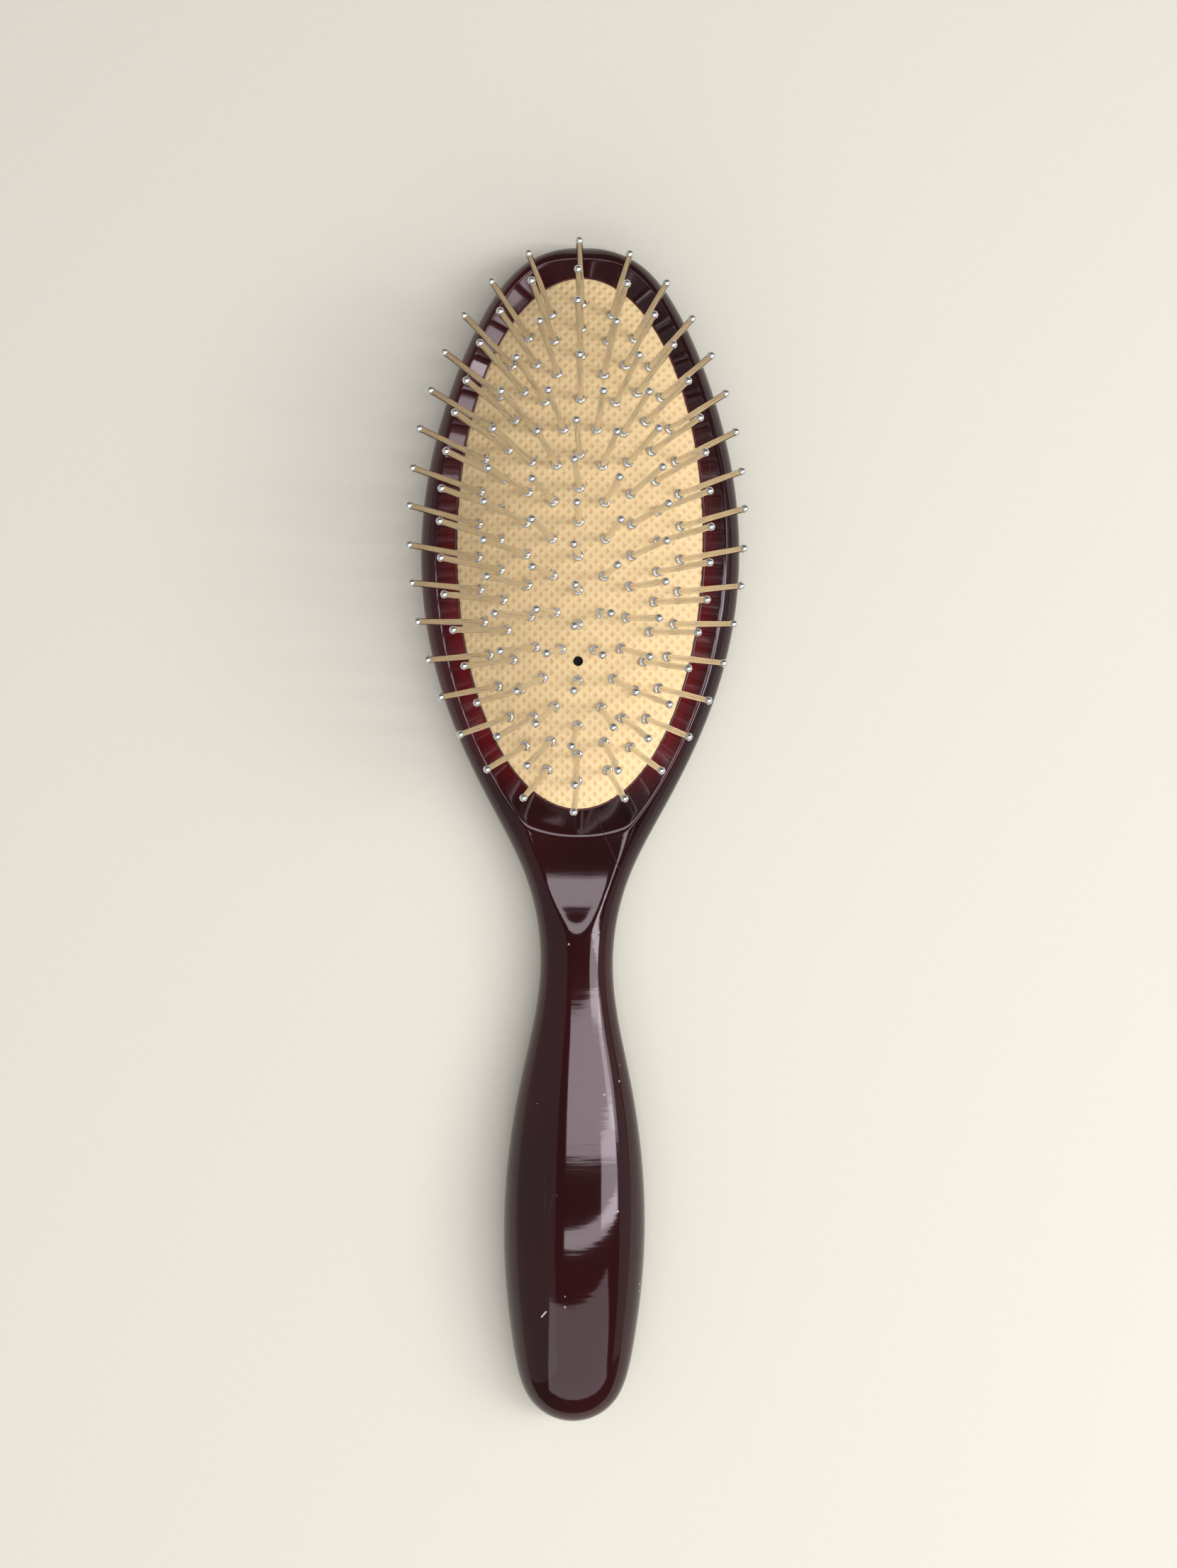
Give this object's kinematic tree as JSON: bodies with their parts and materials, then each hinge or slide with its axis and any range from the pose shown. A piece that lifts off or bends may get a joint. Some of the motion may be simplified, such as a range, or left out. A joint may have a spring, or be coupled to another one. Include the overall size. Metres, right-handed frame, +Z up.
{
  "type": "pin brush",
  "caption": "Oval grooming brush with a domed rubber cushion, ball-tipped steel pins standing square on it in ovals, and a waisted, glossy one-piece body and handle.",
  "frame": {"origin": "bottom centre of the whole brush as it lies on its back, on the flat of the head's back", "axes": "+X to the right with the pins up and the head away, +Y from the handle to the head, +Z up, the way the pins point"},
  "size_m": [0.0632, 0.23, 0.0417],
  "materials": {
    "body_plastic": "glossy",
    "pad_rubber": "matte",
    "pin_steel": "polished"
  },
  "bodies": {
    "root": {"brush_body": "body_plastic", "cushion_pad": "pad_rubber", "pins_outer_oval": "pin_steel", "pins_second_oval": "pin_steel", "pins_third_oval": "pin_steel", "pins_inner_oval": "pin_steel", "pins_centre_row": "pin_steel"}
  },
  "joints": []
}
